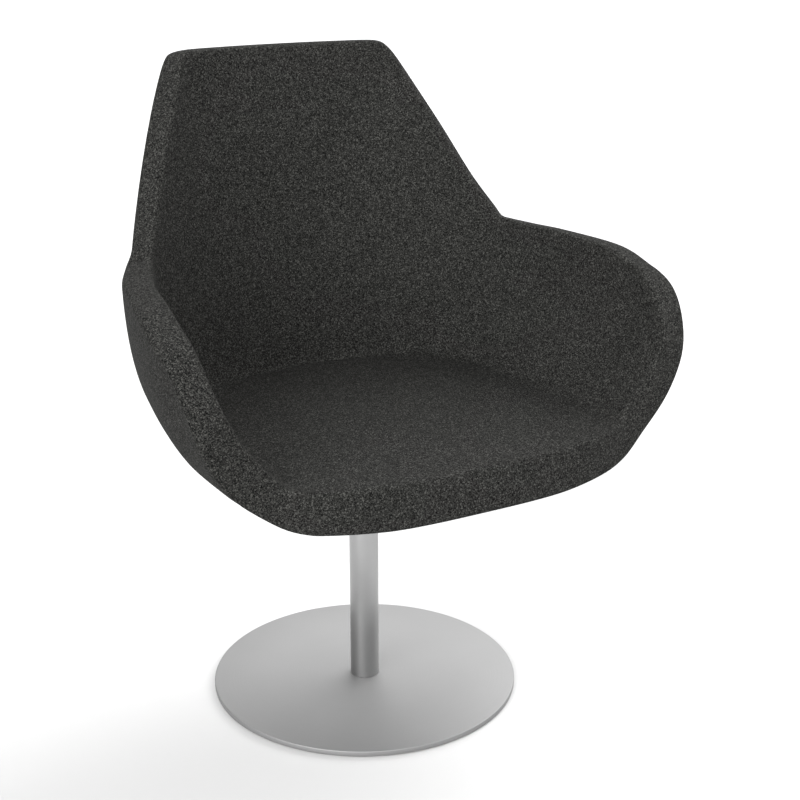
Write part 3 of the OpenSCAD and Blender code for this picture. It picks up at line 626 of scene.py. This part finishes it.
def station(line):
    """The station of a row line of the pattern, which may lie between two rows."""
    i = min(int(line), rows - 1)
    return mix(row_stations[i], row_stations[i + 1], line - i)


def raw(line, post, outer):
    return face_point(station(line), post / half_cols - 1, outer)


# Directions from the rim into each face, on the coarse lines of the pattern
rim_places = ([(0, j) for j in range(cols)] + [(i, cols) for i in range(rows)]
              + [(rows, j) for j in range(cols, 0, -1)] + [(i, 0) for i in range(rows, 0, -1)])
rim_count = len(rim_places)


def rim_directions(outer):
    """Unit vectors from the rim into a face, square to the rim, one for each rim place."""
    found = []
    for k, (i, j) in enumerate(rim_places):
        here = raw(i, j, outer)
        run = (raw(*rim_places[(k + 1) % rim_count], outer)
               - raw(*rim_places[k - 1], outer)).normalized()
        in_by = 2 if i == 0 else 1
        near = raw(min(max(i, 1), rows - 1), min(max(j, in_by), cols - in_by), outer) - here
        found.append((near - near.dot(run) * run).normalized())
    for _ in range(2):
        found = [(found[k - 1] + 2 * found[k] + found[(k + 1) % rim_count]).normalized()
                 for k in range(rim_count)]
    return found


inner_dirs, outer_dirs = rim_directions(False), rim_directions(True)


def rim_direction(dirs, k):
    i = int(math.floor(k)) % rim_count
    return mix(dirs[i], dirs[(i + 1) % rim_count], k - math.floor(k)).normalized()


def rim_index(line, post):
    """The place along the rim of a point on the pattern's edge."""
    if line == 0:
        return post
    if post == cols:
        return cols + line
    if line == rows:
        return 2 * cols + rows - post
    return 2 * cols + 2 * rows - line


def trimmed(line, post, outer):
    """A point of a face, drawn in from the rim so that the rounded edge has room."""
    dirs = outer_dirs if outer else inner_dirs
    end = 0 if line < rows / 2 else rows
    side = 0 if post < half_cols else cols
    a = max(0.0, 1 - abs(line - end) / draw_in_lines)
    b = max(0.0, 1 - abs(post - side) / draw_in_lines)
    shift = (a * rim_direction(dirs, rim_index(end, post))
             + b * rim_direction(dirs, rim_index(line, side))
             - a * b * rim_direction(dirs, rim_index(end, side)))
    return raw(line, post, outer) + pad_edge_r * shift


# The pattern's fine lines, on which the sheets are laid
row_splits, col_splits = 3, 2
fine_rows, fine_cols = row_splits * rows, col_splits * cols
lines = [i / row_splits for i in range(fine_rows + 1)]
posts = [j / col_splits for j in range(fine_cols + 1)]


def laid_sheet(name, outer):
    """A plain grid laid point by point on the inner or outer face."""
    deselect()
    bpy.ops.mesh.primitive_grid_add(
        x_subdivisions=fine_cols, y_subdivisions=fine_rows, size=2.0, location=(0.0, 0.0, 0.0))
    sheet = bpy.context.object
    sheet.name = name
    for point in sheet.data.vertices:
        j = round((point.co.x + 1) / 2 * fine_cols)
        i = round((point.co.y + 1) / 2 * fine_rows)
        point.co = trimmed(lines[i], posts[j], outer)
    return sheet


inner_sheet = laid_sheet("upholstery", False)
outer_sheet = laid_sheet("outer_sheet", True)

# The edge of the inner sheet is drawn out round the rounded edge, step by step, and sewn to the
# outer sheet. Each step is one ring: across from the inner rim and in from both.
fine_rim = ([(0, j) for j in range(fine_cols)] + [(i, fine_cols) for i in range(fine_rows)]
            + [(fine_rows, j) for j in range(fine_cols, 0, -1)]
            + [(i, 0) for i in range(fine_rows, 0, -1)])
band_crown = 0.0012
sewing_gap = 0.00002


def edge_point(i, j, step):
    """A point of the rounded edge: step is (1 inner bend, 0 band, -1 outer bend; share of it)."""
    line, post = lines[i], posts[j]
    a, b = raw(line, post, False), raw(line, post, True)
    k = rim_index(line, post)
    thick = (b - a).length
    side, share = step
    if side == 0:
        across = mix(pad_edge_r, thick - pad_edge_r, share)
        inset = -band_crown * 4 * share * (1 - share)
    else:
        turn = math.radians(90 * share)
        across = pad_edge_r * (1 - math.cos(turn))
        inset = pad_edge_r * (1 - math.sin(turn))
        if side < 0:
            across = thick - across
    into = mix(rim_direction(inner_dirs, k), rim_direction(outer_dirs, k), across / thick)
    return mix(a, b, across / thick) + inset * into


bend_steps, band_steps = 4, 5
steps = ([(1, s / bend_steps) for s in range(1, bend_steps + 1)]
         + [(0, s / band_steps) for s in range(1, band_steps)]
         + [(-1, s / bend_steps) for s in range(bend_steps, -1, -1)])


def key(point):
    """A point in whole micrometres, by which it can be found again."""
    return tuple(round(value * 1e6) for value in point)


place_of = {key(trimmed(lines[i], posts[j], False)): (i, j) for i, j in fine_rim}
edit(inner_sheet, "EDGE")
bpy.ops.object.mode_set(mode="OBJECT")
rim_edges = {}
for face in inner_sheet.data.polygons:
    for pair in face.edge_keys:
        rim_edges[pair] = rim_edges.get(pair, 0) + 1
for edge in inner_sheet.data.edges:
    edge.select = rim_edges.get(edge.key, 0) == 1
for step in steps:
    bpy.ops.object.mode_set(mode="EDIT")
    bpy.ops.mesh.extrude_edges_move()
    bpy.ops.object.mode_set(mode="OBJECT")
    next_place = {}
    for point in inner_sheet.data.vertices:
        if point.select:
            place = place_of[key(point.co)]
            point.co = edge_point(*place, step)
            next_place[key(point.co)] = place
    place_of = next_place

deselect()
inner_sheet.select_set(True)
outer_sheet.select_set(True)
bpy.context.view_layer.objects.active = inner_sheet
bpy.ops.object.join()
upholstery = inner_sheet
edit(upholstery, "VERT")
bpy.ops.mesh.select_all(action="SELECT")
bpy.ops.mesh.remove_doubles(threshold=sewing_gap)
bpy.ops.mesh.normals_make_consistent(inside=False)
bpy.ops.object.mode_set(mode="OBJECT")
rounder = upholstery.modifiers.new("soften", "SUBSURF")
rounder.levels = rounder.render_levels = 1
bpy.ops.object.modifier_apply(modifier=rounder.name)
settle(upholstery)

# Round pocket in the underside for the mounting plate, up to the shell
plate_low, plate_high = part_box("mounting_plate")
pocket_gap = 0.002
pocket_r = (plate_high.x - plate_low.x) / 2 + pocket_gap
pocket_drop = 0.030
deselect()
bpy.ops.mesh.primitive_cylinder_add(
    vertices=96, radius=pocket_r, depth=pocket_drop,
    location=(0.0, 0.0, plate_high.z - pocket_drop / 2))
cutter = bpy.context.object
pocket = upholstery.modifiers.new("pocket", "BOOLEAN")
pocket.operation = "DIFFERENCE"
pocket.solver = "EXACT"
pocket.object = cutter
deselect()
bpy.context.view_layer.objects.active = upholstery
upholstery.select_set(True)
bpy.ops.object.modifier_apply(modifier=pocket.name)
bpy.data.objects.remove(cutter)
smooth(upholstery, 50.0)


# Mottled tweed: small grains of dark and light yarn, a few bright flecks, a trace of cloudiness,
# and the relief of the yarns. The grains are cells, so that they look the same on every side.
tweed, tweed_in, tweed_out = group_tree(
    "mottled_tweed",
    {"Grain Scale": 680.0, "Yarn Scale": 640.0, "Cloud Scale": 22.0, "Fleck": 0.90},
    {"Tone": "Float", "Fleck": "Float", "Height": "Float"},
)
coords = add(tweed, "ShaderNodeTexCoord")
wobble = add(tweed, "ShaderNodeTexNoise", Scale=500.0, Detail=1.0)
tweed.links.new(coords.outputs["Object"], wobble.inputs["Vector"])
shaken = add(tweed, "ShaderNodeVectorMath", operation="MULTIPLY_ADD")
tweed.links.new(wobble.outputs["Color"], shaken.inputs[0])
shaken.inputs[1].default_value = (0.0016, 0.0016, 0.0016)
tweed.links.new(coords.outputs["Object"], shaken.inputs[2])
cells = add(tweed, "ShaderNodeTexVoronoi", Randomness=1.0)
tweed.links.new(shaken.outputs["Vector"], cells.inputs["Vector"])
tweed.links.new(tweed_in.outputs["Grain Scale"], cells.inputs["Scale"])
cell_value = add(tweed, "ShaderNodeSeparateColor")
tweed.links.new(cells.outputs["Color"], cell_value.inputs["Color"])
yarns = add(tweed, "ShaderNodeTexNoise", Detail=2.0, Roughness=0.6)
tweed.links.new(coords.outputs["Object"], yarns.inputs["Vector"])
tweed.links.new(tweed_in.outputs["Yarn Scale"], yarns.inputs["Scale"])
clouds = add(tweed, "ShaderNodeTexNoise", Detail=3.0, Roughness=0.6)
tweed.links.new(coords.outputs["Object"], clouds.inputs["Vector"])
tweed.links.new(tweed_in.outputs["Cloud Scale"], clouds.inputs["Scale"])
tone = math_node(tweed, "MULTIPLY", cell_value.outputs["Red"], 0.36)
tone = math_node(tweed, "MULTIPLY_ADD", yarns.outputs["Fac"], 0.65, tone)
tone = math_node(tweed, "MULTIPLY_ADD", cells.outputs["Distance"], -0.7, tone)
tone = math_node(tweed, "MULTIPLY_ADD", clouds.outputs["Fac"], 0.02, tone)
tweed.links.new(math_node(tweed, "ADD", tone, 0.35), tweed_out.inputs["Tone"])
is_fleck = math_node(tweed, "GREATER_THAN", cell_value.outputs["Green"], tweed_in.outputs["Fleck"])
tweed.links.new(is_fleck, tweed_out.inputs["Fleck"])
bead = math_node(tweed, "SUBTRACT", 1.0, cells.outputs["Distance"])
relief_height = math_node(tweed, "MULTIPLY_ADD", yarns.outputs["Fac"], 0.5, bead)
tweed.links.new(relief_height, tweed_out.inputs["Height"])

charcoal, tree, bsdf = shader("charcoal tweed")
weave = tree.nodes.new("ShaderNodeGroup")
weave.node_tree = tweed
yarn_colours = add(tree, "ShaderNodeValToRGB")
ramp_points = yarn_colours.color_ramp.elements
ramp_points[0].position, ramp_points[0].color = 0.20, (0.0021, 0.0021, 0.0021, 1.0)
ramp_points[1].position, ramp_points[1].color = 0.86, (0.0388, 0.0388, 0.0365, 1.0)
middle_grey = ramp_points.new(0.5)
middle_grey.color = (0.0129, 0.0129, 0.0120, 1.0)
tree.links.new(weave.outputs["Tone"], yarn_colours.inputs["Fac"])
flecked = add(tree, "ShaderNodeMix", data_type="RGBA")
tree.links.new(math_node(tree, "MULTIPLY", weave.outputs["Fleck"], 0.52), flecked.inputs[0])
tree.links.new(yarn_colours.outputs["Color"], flecked.inputs[6])
flecked.inputs[7].default_value = (0.0775, 0.0775, 0.0720, 1.0)
tree.links.new(flecked.outputs[2], bsdf.inputs["Base Color"])
cloth_rough = add(tree, "ShaderNodeMapRange", To_Min=0.95, To_Max=0.80)
tree.links.new(weave.outputs["Tone"], cloth_rough.inputs["Value"])
tree.links.new(cloth_rough.outputs["Result"], bsdf.inputs["Roughness"])
cloth_relief = add(tree, "ShaderNodeBump", Strength=0.50, Distance=0.0006)
tree.links.new(weave.outputs["Height"], cloth_relief.inputs["Height"])
tree.links.new(cloth_relief.outputs["Normal"], bsdf.inputs["Normal"])
bsdf.inputs["Specular IOR Level"].default_value = 0.04
bsdf.inputs["Sheen Weight"].default_value = 0.006
bsdf.inputs["Sheen Roughness"].default_value = 0.5
bsdf.inputs["Sheen Tint"].default_value = (0.75, 0.75, 0.77, 1.0)
upholstery.data.materials.append(charcoal)

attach(upholstery, "seat")
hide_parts("inner_cover", "edge_cover", "outer_cover", "seat_foam", "arm_foam",
            "back_foam", "under_foam", "side_foam", "rear_foam", "edge_foam")


# ---------------------------------------------------------------- Trim disc
# A thin black moulded disc closes the underside round the hub and hides the mounting plate and
# the cut edge of the cover. Four small screws hold it.
finish_nodes(black_moulding, "trim_disc")
finish_nodes(blackened, "trim_screws")
